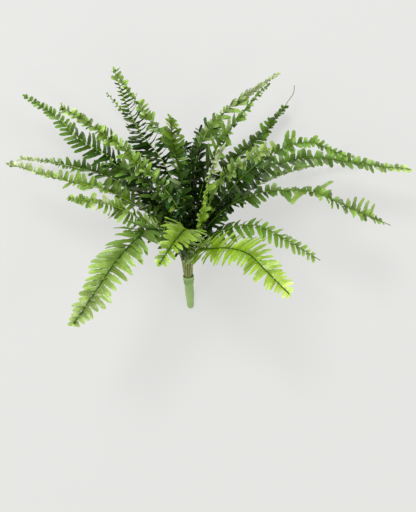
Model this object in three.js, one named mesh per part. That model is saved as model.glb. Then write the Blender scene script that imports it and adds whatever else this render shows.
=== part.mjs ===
// Artificial Boston fern bush: moulded plastic fronds whose thin stems are gathered in one plastic sleeve.
// It lies on its back on a flat surface. Millimetres and degrees, +Z up from that surface, +Y from the
// sleeve towards the fronds.
import * as THREE from "three";

// Sleeve that holds the stems
const sleeveLength = 57;
const sleeveSlope = 30;             // the sleeve rises from its heel on the surface to its mouth
const sleeveBearing = 3.6;          // and points a little to the left
const sleeveRadius = 6.5;
const sleeveEndRadius = 4.6;
const taperStart = 0.55;            // share of the length where the barrel begins to narrow
const mouthFlare = 2.1;             // how far the rim stands out past the barrel
const flareLength = 15;
const sleeveWall = 0.75;
const boreDepth = 34;
const sleeveSides = 20;

// Binding tape, two turns round the sleeve just below its mouth
const tapeTop = 7.5;
const tapeWidth = 3.6;
const tapePitch = 5;
const tapeThickness = 0.6;
const seatGap = 0.3;

// Stems in the bundle, and the rachis that each goes on as
const stemPitch = 1.85;
const bundleReach = 5;              // rows and columns of the packing each way from its middle
const straightStem = [-1, 6];       // the stem leaves the mouth straight, between these distances
const stemHalf = 0.55;
const tipHalf = 0.35;
const stemInset = 30;               // length of stem inside the sleeve
const bareStem = 40;                // length past the mouth before the first leaflets
const stemStep = 13;

// Leaflets
const leafletReach = 24;
const leafletPitch = 10.4;
const leafletWidth = 6;
const shoulderShare = 0.8;          // how far out the corner nearer the stem is, per length
const bladeThickness = 0.6;
const forwardLean = 0.2;            // how far a leaflet leans towards the tip, per length
const restFolds = [8, 8];           // leaflets of a pair rise this much towards the frond's face
const foldSpread = 8;               // and differ from each other by up to this much
const lengthSpread = 0.06;
const shortestLeaflet = 3;
const growingFrom = -0.25;          // leaflets grow from the stem between these shares of the leafy part
const fullFrom = 0.35;
const fallingFrom = 0.5;
const restTipShare = 0.28;          // length of the last leaflets, as a share of the longest
const tipLength = 9;
const bladeClearance = 0.5;         // between two fronds' leaflets, thicker at their roots, and rachises
const faceShare = 0.6;              // where along a frond its face is given
const faceSteps = 160;
const seed = 71;

// Each frond: its green, its seat in the bundle, counted from the middle, the way its face looks past its
// middle, and its route past the mouth, measured from the mouth's centre in x and y and from the surface
// in z. Some state a turn of the face along the frond, their own leaflet reach, the folds of their leaflets
// near the stem and at the tip, the share that their last leaflets keep, and a length of bare wire.
const fronds = [
  { name: "frond_left_upper", tone: "dark", seat: 7, face: [4, 5, 8], folds: [-10, -10],
    route: [[-11, 51, 56], [-40, 103, 68], [-83, 153, 74], [-133, 192, 76], [-183, 235, 72],
      [-237, 262, 64]] },
  { name: "frond_left_high", tone: "mid", seat: 5, face: [5, 5, 5], twist: 45,
    route: [[-8, 55, 86], [-15, 99, 125], [-41, 132, 150], [-78, 166, 166], [-117, 197, 170],
      [-168, 229, 164]] },
  { name: "frond_left_wide", tone: "bright", seat: 21, face: [3, 8, 4], folds: [20, 25],
    route: [[-17, 52, 70], [-63, 89, 92], [-123, 122, 102], [-194, 141, 100], [-256, 161, 92]] },
  { name: "frond_left_low", tone: "dark", seat: 18, face: [2, 9, 2], folds: [15, 15],
    route: [[-14, 50, 44], [-56, 107, 32], [-115, 145, 21], [-182, 164, 19], [-249, 175, 22]] },
  { name: "frond_left_inner", tone: "mid", seat: 17, face: [1, 6, 7], folds: [-20, -10], tipShare: 0.5,
    route: [[-20, 48, 90], [-58, 77, 128], [-89, 98, 148], [-121, 108, 158], [-160, 107, 158]] },
  { name: "frond_front_left", tone: "mid", seat: 16, face: [0, 6, 8], reach: 30, tipShare: 0.4,
    route: [[-16, 48, 98], [-50, 66, 150], [-64, 55, 178], [-91, 23, 205], [-113, -11, 220],
      [-144, -58, 224]] },
  { name: "frond_front_middle", tone: "bright", seat: 26, face: [2, 7, 6], reach: 26, tipShare: 0.6,
    route: [[0, 38, 82], [1, 64, 150], [-5, 61, 195], [-19, 41, 228], [-38, 14, 240]] },
  { name: "frond_top_dark", tone: "dark", seat: 0, face: [6, 3, 5], folds: [0, 0],
    route: [[-5, 53, 66], [-10, 105, 95], [-37, 164, 125], [-66, 197, 150], [-83, 230, 178],
      [-95, 273, 206]] },
  { name: "frond_back_left", tone: "dark", seat: 22, face: [9, 4, 3],
    route: [[-7, 48, 46], [-26, 103, 34], [-59, 171, 22], [-79, 224, 20], [-103, 252, 21],
      [-121, 271, 24]] },
  { name: "frond_top_left", tone: "mid", seat: 3, face: [7, 3, 5], folds: [5, 5],
    route: [[-2, 53, 56], [-6, 110, 74], [-30, 197, 90], [-55, 229, 96], [-74, 257, 98], [-98, 286, 96]] },
  { name: "frond_top_middle", tone: "bright", seat: 11, face: [3, 9, -6], tipShare: 0.6,
    route: [[-1, 48, 78], [-4, 100, 125], [-12, 158, 172], [-18, 188, 205], [-19, 207, 236]] },
  { name: "frond_front_upright", tone: "bright", seat: 20, face: [9, 0, 2], tipShare: 0.5,
    route: [[5, 41, 80], [18, 71, 120], [25, 116, 168], [33, 145, 204], [42, 163, 234]] },
  { name: "frond_top_hooked", tone: "mid", seat: 8, face: [-4, 6, 6], tipShare: 0.4,
    route: [[2, 53, 58], [8, 117, 76], [18, 188, 86], [56, 237, 92], [93, 264, 96], [131, 288, 98]] },
  { name: "frond_top_right", tone: "dark", seat: 2, face: [-5, 6, 8], tipShare: 0.4,
    route: [[4, 52, 73], [18, 115, 104], [35, 165, 130], [58, 200, 150], [83, 232, 166], [110, 259, 180]] },
  { name: "frond_back_right", tone: "dark", seat: 19, face: [-7, 5, 7], reach: 18, bareTip: 26,
    route: [[6, 50, 46], [25, 104, 36], [63, 166, 26], [106, 206, 22], [135, 239, 22], [160, 277, 26]] },
  { name: "frond_right_bright", tone: "bright", seat: 10, face: [-5, 8, 3], tipShare: 0.5,
    route: [[8, 49, 84], [29, 97, 128], [47, 131, 166], [78, 153, 206], [106, 166, 236]] },
  { name: "frond_right_arched", tone: "mid", seat: 4, face: [-1, 7, 8], folds: [10, 20], tipShare: 0.2,
    route: [[9, 48, 76], [46, 105, 106], [88, 149, 126], [126, 175, 136], [169, 185, 140],
      [219, 166, 138]] },
  { name: "frond_right_long", tone: "dark", seat: 24, face: [-2, 7, 6],
    route: [[8, 47, 60], [40, 90, 70], [82, 131, 78], [121, 158, 84], [175, 169, 88], [246, 162, 88],
      [318, 154, 84]] },
  { name: "frond_right_low", tone: "dark", seat: 23, face: [-2, 9, 3], folds: [20, 20],
    route: [[9, 44, 42], [50, 93, 30], [91, 127, 22], [136, 149, 20], [192, 165, 20], [245, 177, 24]] },
  { name: "frond_right_drooping", tone: "mid", seat: 15, face: [0, 7, 6], folds: [-25, 10], reach: 25,
    bareTip: 16, tipShare: 0.6,
    route: [[12, 44, 84], [43, 88, 118], [76, 111, 136], [117, 120, 146], [171, 118, 152], [223, 99, 150],
      [279, 71, 144]] },
  { name: "frond_right_short", tone: "mid", seat: 14, face: [1, 7, 7], folds: [-16, -16], tipShare: 0.4,
    route: [[15, 42, 82], [42, 59, 112], [74, 70, 130], [109, 70, 140], [144, 52, 146], [187, 25, 142]] },
  { name: "frond_front_right", tone: "bright", seat: 25, face: [-1, 5, 8], reach: 25, tipShare: 0.55,
    route: [[14, 35, 98], [35, 40, 150], [61, 40, 184], [87, 32, 204], [110, 9, 216], [140, -22, 220]] },
  { name: "frond_back_middle", tone: "dark", seat: 12, face: [1, 0, 9],
    route: [[-3, 53, 40], [-6, 112, 24], [-6, 155, 16], [-4, 198, 11]] },
  { name: "frond_back_inner", tone: "dark", seat: 13, face: [-1, 0, 9],
    route: [[3, 53, 40], [15, 112, 24], [28, 165, 14], [38, 205, 10]] },
  { name: "frond_inner_left", tone: "dark", seat: 6, face: [5, 5, 6], reach: 21,
    route: [[-9, 49, 64], [-35, 104, 88], [-63, 139, 100], [-96, 158, 102]] },
  { name: "frond_inner_middle", tone: "dark", seat: 1, face: [-3, 1, 9], reach: 18,
    route: [[1, 50, 62], [4, 118, 96], [6, 175, 118]] },
  { name: "frond_inner_right", tone: "dark", seat: 9, face: [-5, 6, 7], reach: 21,
    route: [[6, 49, 60], [35, 99, 84], [66, 137, 98], [104, 158, 104]] },
];

const radians = THREE.MathUtils.degToRad;
const slope = radians(sleeveSlope);
const bearing = radians(sleeveBearing);
const axis = new THREE.Vector3(
  -Math.sin(bearing) * Math.cos(slope), Math.cos(bearing) * Math.cos(slope), Math.sin(slope));
const acrossBundle = new THREE.Vector3(0, 0, 1).cross(axis).negate().normalize();
const overBundle = new THREE.Vector3().crossVectors(acrossBundle, axis);
const mouthHeight = (sleeveLength - sleeveEndRadius) * Math.sin(slope) + sleeveEndRadius;
const mouth = new THREE.Vector3(0, 0, mouthHeight);

// Same numbers on every run
function makeRandom(start) {
  let state = start;
  return () => {
    state = (state * 1664525 + 1013904223) % 4294967296;
    return state / 4294967296;
  };
}

// Seats of the stems: a triangular packing round the sleeve's axis, from the middle outwards
function bundleSeats(count) {
  const seats = [];
  for (let column = -bundleReach; column <= bundleReach; column += 1) {
    for (let row = -bundleReach; row <= bundleReach; row += 1) {
      const x = stemPitch * (column + row / 2 - 0.5);
      const y = stemPitch * (row * Math.sqrt(3) / 2 - Math.sqrt(3) / 6);
      seats.push({ x, y, ring: Math.round(Math.hypot(x, y) * 1000), turn: Math.atan2(y, x) });
    }
  }
  seats.sort((a, b) => a.ring - b.ring || a.turn - b.turn);
  return seats.slice(0, count);
}

const seats = bundleSeats(fronds.length);

// Spine of a frond: straight in the sleeve, then one smooth curve through the route
function makeSpine(frond) {
  const { x, y } = seats[frond.seat];
  const seat = mouth.clone().addScaledVector(acrossBundle, x).addScaledVector(overBundle, y);
  const knots = [
    ...straightStem.map((distance) => seat.clone().addScaledVector(axis, distance)),
    ...frond.route.map((point) => new THREE.Vector3(...point)),
  ];
  const curve = new THREE.CatmullRomCurve3(knots);
  curve.arcLengthDivisions = 400;
  return { curve, length: curve.getLength(), start: knots[0], faces: carryFace(curve, frond.face) };
}

function squareTo(direction, tangent) {
  return direction.clone().addScaledVector(tangent, -direction.dot(tangent)).normalize();
}

// Faces along a curve: the one that is given past the middle, carried both ways without any twist
function carryFace(curve, face) {
  const tangents = Array.from({ length: faceSteps + 1 }, (_, i) => curve.getTangentAt(i / faceSteps));
  const given = Math.round(faceSteps * faceShare);
  const faces = [];
  faces[given] = squareTo(new THREE.Vector3(...face), tangents[given]);
  for (let i = given + 1; i <= faceSteps; i += 1) faces[i] = squareTo(faces[i - 1], tangents[i]);
  for (let i = given - 1; i >= 0; i -= 1) faces[i] = squareTo(faces[i + 1], tangents[i]);
  return faces;
}

// Point, tangent, face and side of a spine at a distance past the mouth
function frameAt(frond, distance) {
  const { curve, length, start, faces } = frond.spine;
  const along = THREE.MathUtils.clamp(distance / length, 0, 1);
  const tangent = distance < 0 ? axis.clone() : curve.getTangentAt(along);
  const point = distance < 0 ? start.clone().addScaledVector(axis, distance) : curve.getPointAt(along);
  const step = Math.min(Math.floor(along * faceSteps), faceSteps - 1);
  const between = faces[step].clone().lerp(faces[step + 1], along * faceSteps - step);
  const turn = radians((frond.twist ?? 0) * (along - faceShare));
  const face = squareTo(between, tangent).applyAxisAngle(tangent, turn);
  const side = new THREE.Vector3().crossVectors(tangent, face);
  return { point, tangent, face, side };
}

// Leaflet length along the frond, as a share of its full reach
function leafletShare(frond, distance) {
  const leafEnd = frond.spine.length - (frond.bareTip ?? 0);
  const along = (distance - bareStem) / (leafEnd - bareStem);
  if (along > 1) return 0;
  const rising = THREE.MathUtils.smoothstep(along, growingFrom, fullFrom);
  const tipShare = frond.tipShare ?? restTipShare;
  const falling = THREE.MathUtils.lerp(1, tipShare, THREE.MathUtils.smoothstep(along, fallingFrom, 1));
  return rising * falling;
}

// Stations along a frond: a few on the bare stem, then one at each notch between leaflets
function makeStations(frond) {
  const leafyLength = frond.spine.length - tipLength - bareStem;
  const pairs = Math.round(leafyLength / leafletPitch);
  const stations = [-stemInset];
  for (let distance = 0; distance < bareStem - 1; distance += stemStep) stations.push(distance);
  const firstPair = stations.length;
  for (let pair = 0; pair <= pairs; pair += 1) stations.push(bareStem + leafyLength * pair / pairs);
  return { stations, firstPair };
}

// The two outer corners of a leaflet and its own up direction
function leafletShape(leaflet, extraFold, scale) {
  const { frame, side, length, fold } = leaflet;
  const angle = radians(fold + extraFold);
  const out = frame.side.clone().multiplyScalar(side).applyAxisAngle(frame.tangent, -side * angle);
  const up = frame.face.clone().applyAxisAngle(frame.tangent, -side * angle);
  const reach = length * scale;
  const corner = (share, shift) => frame.point.clone()
    .addScaledVector(out, reach * share)
    .addScaledVector(frame.tangent, shift + reach * forwardLean);
  return { near: corner(shoulderShare, -leafletWidth / 2), far: corner(1, leafletWidth / 2), up };
}

// Shortest distance between two straight edges
function edgeDistance(a, b, c, d) {
  const u = b.clone().sub(a);
  const v = d.clone().sub(c);
  const w = a.clone().sub(c);
  const uu = u.dot(u);
  const uv = u.dot(v);
  const vv = v.dot(v);
  const uw = u.dot(w);
  const vw = v.dot(w);
  const spread = uu * vv - uv * uv;
  let s = spread > 1e-9 ? THREE.MathUtils.clamp((uv * vw - vv * uw) / spread, 0, 1) : 0;
  const t = THREE.MathUtils.clamp((uv * s + vw) / vv, 0, 1);
  s = THREE.MathUtils.clamp((uv * t - uw) / uu, 0, 1);
  return w.addScaledVector(u, s).addScaledVector(v, -t).length();
}

const hit = new THREE.Vector3();
const ray = new THREE.Ray();

function edgePierces(a, b, triangle) {
  ray.origin.copy(a);
  ray.direction.copy(b).sub(a).normalize();
  const found = ray.intersectTriangle(triangle.a, triangle.b, triangle.c, false, hit);
  return found !== null && hit.distanceTo(a) <= a.distanceTo(b);
}

const edgesOf = (triangle) => [[triangle.a, triangle.b], [triangle.b, triangle.c], [triangle.c, triangle.a]];

function edgeToTriangle([a, b], triangle) {
  if (edgePierces(a, b, triangle)) return 0;
  let least = Math.min(
    triangle.closestPointToPoint(a, hit).distanceTo(a), triangle.closestPointToPoint(b, hit).distanceTo(b));
  for (const [c, d] of edgesOf(triangle)) least = Math.min(least, edgeDistance(a, b, c, d));
  return least;
}

function triangleDistance(first, second) {
  let least = Infinity;
  for (const edge of edgesOf(first)) least = Math.min(least, edgeToTriangle(edge, second));
  for (const edge of edgesOf(second)) least = Math.min(least, edgeToTriangle(edge, first));
  return least;
}

// Everything that a leaflet has to stay clear of, with its owner and its box
const obstacles = [];

function addObstacle(frond, shape) {
  obstacles.push({ frond, box: new THREE.Box3().setFromPoints(shape.points), ...shape });
}

function isClear(frond, triangles, box) {
  for (const other of obstacles) {
    if (other.frond === frond || !other.box.intersectsBox(box)) continue;
    for (const triangle of triangles) {
      if (other.edge && edgeToTriangle(other.edge, triangle) < other.margin) return false;
      if (other.triangles?.some((blade) => triangleDistance(blade, triangle) < other.margin)) return false;
    }
  }
  return true;
}

// Leaflets are placed from the front of the bush backwards. One that would meet another frond or the
// surface is folded clear, made shorter, or left out.
const foldTries = [0, 18, -18, 36, -36, 55, -55];
const scaleTries = [1, 0.75, 0.5];
const leastPressedShare = 0.7;

// A leaflet that reaches the surface ends on it, unless that takes too much of its length
function restOnSurface(leaflet, extraFold, scale) {
  const shape = leafletShape(leaflet, extraFold, scale);
  const lowest = Math.min(shape.near.z, shape.far.z);
  const floor = bladeThickness / 2;
  if (lowest >= floor) return shape;
  const root = leaflet.frame.point.z;
  const share = (root - floor) / (root - lowest);
  return share > leastPressedShare ? leafletShape(leaflet, extraFold, scale * share) : null;
}

function placeLeaflet(leaflet) {
  const { frond, start, end } = leaflet;
  for (const scale of scaleTries) {
    for (const extraFold of foldTries) {
      const shape = restOnSurface(leaflet, extraFold, scale);
      if (!shape) continue;
      const points = [start, shape.near, shape.far, end];
      const triangles = [
        new THREE.Triangle(start, shape.near, end), new THREE.Triangle(shape.near, shape.far, end)];
      const box = new THREE.Box3().setFromPoints(points).expandByScalar(2);
      if (isClear(frond, triangles, box)) {
        addObstacle(frond, { points, triangles, margin: bladeThickness + bladeClearance });
        return shape;
      }
    }
  }
  return null;
}

// All leaflets of a frond, with its frames at the notches
function layOutFrond(frond, random) {
  frond.spine = makeSpine(frond);
  const { stations, firstPair } = makeStations(frond);
  frond.frames = stations.map((distance) => frameAt(frond, distance));
  frond.stations = stations;
  frond.leaflets = [];
  for (let i = firstPair; i < stations.length - 1; i += 1) {
    const middle = (stations[i] + stations[i + 1]) / 2;
    for (const side of [-1, 1]) {
      const spread = 1 + lengthSpread * (2 * random() - 1);
      const length = (frond.reach ?? leafletReach) * leafletShare(frond, middle) * spread;
      const [firstFold, lastFold] = frond.folds ?? restFolds;
      const fold = THREE.MathUtils.lerp(firstFold, lastFold, middle / frond.spine.length)
        + foldSpread * (2 * random() - 1);
      if (length < shortestLeaflet) continue;
      const start = frond.frames[i].point;
      const end = frond.frames[i + 1].point;
      frond.leaflets.push({ frond, index: i, side, length, fold, start, end, frame: frameAt(frond, middle) });
    }
  }
  const stemMargin = stemHalf * Math.SQRT2 + bladeThickness / 2 + bladeClearance;
  for (let i = 0; i < stations.length - 1; i += 1) {
    const edge = [frond.frames[i].point, frond.frames[i + 1].point];
    addObstacle(frond, { points: edge, edge, margin: stemMargin });
  }
}

// Closed solid of a frond: a four-sided rib with each leaflet drawn out of its side wall
function frondGeometry(frond) {
  const vertices = [];
  const faces = [];
  const addVertex = (point) => vertices.push(point.clone()) - 1;
  const lastStation = frond.stations.at(-1);
  const rings = frond.frames.map(({ point, face, side }, i) => {
    const half = THREE.MathUtils.lerp(stemHalf, tipHalf, Math.max(0, frond.stations[i]) / lastStation);
    const corner = (sideSign, faceSign) => addVertex(
      point.clone().addScaledVector(side, sideSign * half).addScaledVector(face, faceSign * half));
    return { "-1": [corner(-1, 1), corner(-1, -1)], 1: [corner(1, 1), corner(1, -1)] };
  });
  const shapes = new Map(frond.leaflets.map(({ index, side, shape }) => [`${index} ${side}`, shape]));
  // Adds a quad given anticlockwise from outside on side 1, and turned round on side -1
  const addQuad = (sign, a, b, c, d) => {
    if (sign > 0) faces.push(a, b, c, a, c, d);
    else faces.push(a, c, b, a, d, c);
  };
  for (let i = 0; i < rings.length - 1; i += 1) {
    const [here, next] = [rings[i], rings[i + 1]];
    addQuad(1, here[-1][0], here[1][0], next[1][0], next[-1][0]);
    addQuad(-1, here[-1][1], here[1][1], next[1][1], next[-1][1]);
    for (const side of [-1, 1]) {
      const [topStart, bottomStart] = here[side];
      const [topEnd, bottomEnd] = next[side];
      const shape = shapes.get(`${i} ${side}`);
      if (!shape) {
        addQuad(side, topStart, bottomStart, bottomEnd, topEnd);
        continue;
      }
      const half = bladeThickness / 2;
      const [topNear, bottomNear, topFar, bottomFar] = [
        addVertex(shape.near.clone().addScaledVector(shape.up, half)),
        addVertex(shape.near.clone().addScaledVector(shape.up, -half)),
        addVertex(shape.far.clone().addScaledVector(shape.up, half)),
        addVertex(shape.far.clone().addScaledVector(shape.up, -half)),
      ];
      addQuad(side, topEnd, topStart, topNear, topFar);
      addQuad(-side, bottomEnd, bottomStart, bottomNear, bottomFar);
      addQuad(side, topStart, bottomStart, bottomNear, topNear);
      addQuad(side, topNear, bottomNear, bottomFar, topFar);
      addQuad(side, topFar, bottomFar, bottomEnd, topEnd);
    }
  }
  const first = rings[0];
  addQuad(1, first[-1][0], first[-1][1], first[1][1], first[1][0]);
  const last = rings.at(-1);
  const tip = addVertex(frameAt(frond, frond.spine.length).point);
  faces.push(last[-1][0], last[1][0], tip, last[1][0], last[1][1], tip);
  faces.push(last[1][1], last[-1][1], tip, last[-1][1], last[-1][0], tip);
  const geometry = new THREE.BufferGeometry().setFromPoints(vertices);
  geometry.setIndex(faces);
  geometry.computeVertexNormals();
  return geometry;
}

// Outer radius of the sleeve at a depth below its mouth
function sleeveRadiusAt(depth) {
  const flare = mouthFlare * (1 - THREE.MathUtils.smoothstep(depth, 0, flareLength));
  const taper = THREE.MathUtils.smoothstep(depth, sleeveLength * taperStart, sleeveLength - sleeveEndRadius);
  return THREE.MathUtils.lerp(sleeveRadius, sleeveEndRadius, taper) + flare;
}

// Turns a shape made round +Y so that it lies along the sleeve, y = 0 at the mouth
function placeOnSleeve(mesh) {
  mesh.quaternion.setFromUnitVectors(new THREE.Vector3(0, 1, 0), axis);
  mesh.position.copy(mouth);
  return mesh;
}

function sleeveGeometry() {
  const endDepth = sleeveLength - sleeveEndRadius;
  const depths = [0, 4, 8, flareLength, 31, 41, endDepth];
  const outer = depths.map((depth) => new THREE.Vector2(sleeveRadiusAt(depth), -depth));
  const end = [35, 65].map((turn) => new THREE.Vector2(
    sleeveEndRadius * Math.cos(radians(turn)), -endDepth - sleeveEndRadius * Math.sin(radians(turn))));
  const boreDepths = [boreDepth, ...depths.filter((depth) => depth < boreDepth).reverse()];
  const inner = boreDepths.map((depth) => new THREE.Vector2(sleeveRadiusAt(depth) - sleeveWall, -depth));
  const boreFloor = new THREE.Vector2(0, -boreDepth);
  const heel = new THREE.Vector2(0, -sleeveLength);
  const profile = [boreFloor, ...inner, ...outer, ...end, heel].reverse();
  return new THREE.LatheGeometry(profile, sleeveSides);
}

function tapeGeometry(turn) {
  const top = tapeTop + turn * tapePitch;
  const depths = [top, top + tapeWidth / 2, top + tapeWidth];
  const inner = depths.map((depth) => new THREE.Vector2(sleeveRadiusAt(depth) + seatGap, -depth));
  const outer = inner.map(({ x, y }) => new THREE.Vector2(x + tapeThickness, y)).reverse();
  return new THREE.LatheGeometry([...outer, ...inner, outer[0]], sleeveSides);
}

const plastic = (color, roughness) => new THREE.MeshStandardMaterial({ color, roughness, metalness: 0 });
const sleevePlastic = plastic(0x8fae72, 0.5);
const tapeFinish = plastic(0x7f9a5e, 0.6);
const frondPlastic = {
  dark: plastic(0x2c5a26, 0.38),
  mid: plastic(0x4f8a35, 0.4),
  bright: plastic(0x7fb03c, 0.42),
};

const bush = new THREE.Group();
const random = makeRandom(seed);
for (const frond of fronds) layOutFrond(frond, random);
const queue = fronds.flatMap((frond) => frond.leaflets);
queue.sort((a, b) => b.frame.point.z - a.frame.point.z);
for (const leaflet of queue) leaflet.shape = placeLeaflet(leaflet);
for (const frond of fronds) {
  const mesh = new THREE.Mesh(frondGeometry(frond), frondPlastic[frond.tone]);
  mesh.name = frond.name;
  bush.add(mesh);
}

const sleeve = placeOnSleeve(new THREE.Mesh(sleeveGeometry(), sleevePlastic));
sleeve.name = "sleeve";
bush.add(sleeve);
for (const turn of [0, 1]) {
  const tape = placeOnSleeve(new THREE.Mesh(tapeGeometry(turn), tapeFinish));
  tape.name = `binding_tape_${turn + 1}`;
  bush.add(tape);
}

// Origin at the middle of the bush's box, on the surface
bush.updateMatrixWorld(true);
const box = new THREE.Box3().setFromObject(bush, true);
bush.position.set(-(box.min.x + box.max.x) / 2, -(box.min.y + box.max.y) / 2, -box.min.z);

export default bush;
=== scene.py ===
# Artificial Boston fern bush lying on its back: moulded plastic fronds, stems gathered in a plastic sleeve.
# Settings are in millimetres and degrees, and a finished piece is scaled to metres. +Z is up from the floor,
# +Y runs from the sleeve towards the fronds.
import math
import random

import bmesh
import bpy
import numpy as np
from mathutils.bvhtree import BVHTree
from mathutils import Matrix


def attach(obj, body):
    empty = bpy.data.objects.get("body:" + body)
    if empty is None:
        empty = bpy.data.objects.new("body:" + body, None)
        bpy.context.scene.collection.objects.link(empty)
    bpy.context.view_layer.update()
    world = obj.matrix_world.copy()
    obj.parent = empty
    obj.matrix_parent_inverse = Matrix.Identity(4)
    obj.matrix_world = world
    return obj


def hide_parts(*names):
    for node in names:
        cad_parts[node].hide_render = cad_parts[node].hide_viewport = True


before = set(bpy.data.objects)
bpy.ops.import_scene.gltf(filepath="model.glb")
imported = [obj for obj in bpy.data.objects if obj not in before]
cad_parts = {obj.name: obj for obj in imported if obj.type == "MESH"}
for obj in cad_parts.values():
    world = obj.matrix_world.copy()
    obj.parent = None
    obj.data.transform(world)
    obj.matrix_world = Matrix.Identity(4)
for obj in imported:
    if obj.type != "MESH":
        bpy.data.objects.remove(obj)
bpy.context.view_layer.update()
millimetre = 0.001
draw = random.Random(71)

# Greens from 0 to 255. Most are the plastic in white light; deep and shade are painted shade, for leaflets in
# the middle of the bush and on fronds seen in shade
greens = {
    "deep": (18, 36, 5),
    "shade": (38, 64, 12),
    "dark": (58, 94, 20),
    "bluish": (52, 104, 36),
    "moss": (90, 128, 10),
    "mid": (106, 147, 38),
    "leafy": (130, 170, 46),
    "fresh": (154, 191, 72),
    "soft": (168, 199, 92),
    "lime": (150, 190, 30),
    "bright": (198, 228, 76),
    "pale": (204, 222, 152),
    "olive": (158, 176, 108),
    "wire": (168, 176, 112),
    "rib": (38, 90, 10),
}


def linear(colour):
    return np.array([((level / 255 + 0.055) / 1.055) ** 2.4 for level in colour])


def smoothStep(value, low, high):
    share = np.clip((value - low) / (high - low), 0, 1)
    return share * share * (3 - 2 * share)


def between(start, end, share):
    return start + (end - start) * share


# Sleeve: its heel in the frame is the point lowest along its own axis
sleeve = {
    "length": 57,
    "slope": 30,
    "bearing": 3.6,
    "radius": 6.3,
    "endRadius": 4.7,
    "taperStart": 0.5,
    "mouthFlare": 1.9,
    "flareLength": 15,
    "wall": 0.75,
    "boreDepth": 34,
    "steps": 72,
    "outlineSteps": 30,
    "heelSteps": 7,
    "boreSteps": 16,
    "lipDepth": 0.3,
    "lip": ((0.75, 0.0), (0.5, 0.08), (0.25, 0.0)),    # shares of the wall, and heights
    "seamHeight": 0.3,
    "seamHalfWidth": 0.35,
    "seamStart": 18,
    "skin": 0.2,            # within this of the outside a point counts as outside
    "colour": (178, 212, 132),
    "shades": (0.82, 1.1),
    "clouds": (14, 3.0),
    "grain": (1.5, 2.0),
    "roughness": (0.36, 0.5),
    "relief": 0.06,
    "gloss": 0.5,
}

slope = math.radians(sleeve["slope"])
bearing = math.radians(sleeve["bearing"])
axis = np.array([
    -math.sin(bearing) * math.cos(slope), math.cos(bearing) * math.cos(slope), math.sin(slope)])
acrossBundle = np.cross(axis, (0, 0, 1)) / math.cos(slope)
overBundle = np.cross(acrossBundle, axis)
sleeveCorners = np.array([corner.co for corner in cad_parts["sleeve"].data.vertices]) / millimetre
mouth = sleeveCorners[np.argmin(sleeveCorners @ axis)] + axis * sleeve["length"]


def placeOnSleeve(bm):
    # Turns a shape made round +Z so that it lies along the sleeve, with zero at the mouth
    for corner in bm.verts:
        x, y, z = corner.co
        corner.co = mouth + acrossBundle * x + overBundle * -y + axis * z


def smoothShell(bm, sharpAngle=None):
    # Faces outwards and smooth, with a hard edge where two meet at more than the angle
    bmesh.ops.recalc_face_normals(bm, faces=bm.faces[:])
    for side in bm.faces:
        side.smooth = True
    if sharpAngle:
        for edge in bm.edges:
            edge.smooth = edge.calc_face_angle(0) < sharpAngle


def meshFrom(name, bm):
    mesh = bpy.data.meshes.new(name)
    bm.to_mesh(mesh)
    bm.free()
    return mesh


def addObject(name, data):
    added = bpy.data.objects.new(name, data)
    bpy.context.scene.collection.objects.link(added)
    return added


def finishPiece(name, bm, materials, slotName, *nodes):
    bmesh.ops.scale(bm, vec=(millimetre,) * 3, verts=bm.verts)
    mesh = meshFrom(name, bm)
    for material in materials:
        mesh.materials.append(material)
    piece = addObject(name, mesh)
    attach(piece, "root")
    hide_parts(*nodes)


# Materials are built from these
def startMaterial(name, **sockets):
    material = bpy.data.materials.new(name)
    material.use_nodes = True
    shader = material.node_tree.nodes["Principled BSDF"]
    for socket, value in sockets.items():
        shader.inputs[socket.replace("_", " ")].default_value = value
    return material, material.node_tree, shader


def addNode(tree, kind, settings=None, **values):
    node = tree.nodes.new(kind)
    for setting, value in (settings or {}).items():
        setattr(node, setting, value)
    for socket, value in values.items():
        if isinstance(value, bpy.types.NodeSocket):
            tree.links.new(value, node.inputs[int(socket[1:])])
        else:
            node.inputs[int(socket[1:])].default_value = value
    return node.outputs[0]


def sums(tree, operation, first, second=0.0):
    return addNode(tree, "ShaderNodeMath", {"operation": operation}, _0=first, _1=second)


def remap(tree, value, low, high, newLow, newHigh):
    return addNode(tree, "ShaderNodeMapRange", {}, _0=value, _1=low, _2=high, _3=newLow, _4=newHigh)


noiseEnds = (0.3, 0.7)      # most of a noise lies between them


def overNoise(tree, value, ends):
    # Carries a noise over to a range of its own
    return remap(tree, value, *noiseEnds, *ends)


def noise(tree, size, detail):
    # Patches of about that size in millimetres, from 0 to 1
    place = addNode(tree, "ShaderNodeTexCoord").node.outputs["Object"]
    return addNode(tree, "ShaderNodeTexNoise", {}, _0=place, _2=1 / (size * millimetre), _3=detail)


def attribute(tree, name, output):
    return addNode(tree, "ShaderNodeAttribute", {"attribute_name": name}).node.outputs[output]


def bump(tree, height, depth):
    node = addNode(tree, "ShaderNodeBump").node
    tree.links.new(height, node.inputs["Height"])
    node.inputs["Distance"].default_value = depth * millimetre
    return node.outputs[0]


def cloudedColour(tree, shader, cloud, colour, shades):
    # A base colour that drifts between two shades
    tone = addNode(tree, "ShaderNodeValToRGB", {}, _0=cloud).node
    for stop, share, place in zip(tone.color_ramp.elements, shades, noiseEnds):
        stop.color = (*(linear(colour) * share), 1)
        stop.position = place
    tree.links.new(tone.outputs[0], shader.inputs["Base Color"])


def plainMaterial(name, s):
    # One colour with faint clouds and a fine grain
    material, tree, shader = startMaterial(name, Specular_IOR_Level=s["gloss"])
    cloudedColour(tree, shader, noise(tree, *s["clouds"]), s["colour"], s["shades"])
    grain = noise(tree, *s["grain"])
    tree.links.new(overNoise(tree, grain, s["roughness"]), shader.inputs["Roughness"])
    tree.links.new(bump(tree, grain, s["relief"]), shader.inputs["Normal"])
    return material


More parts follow.
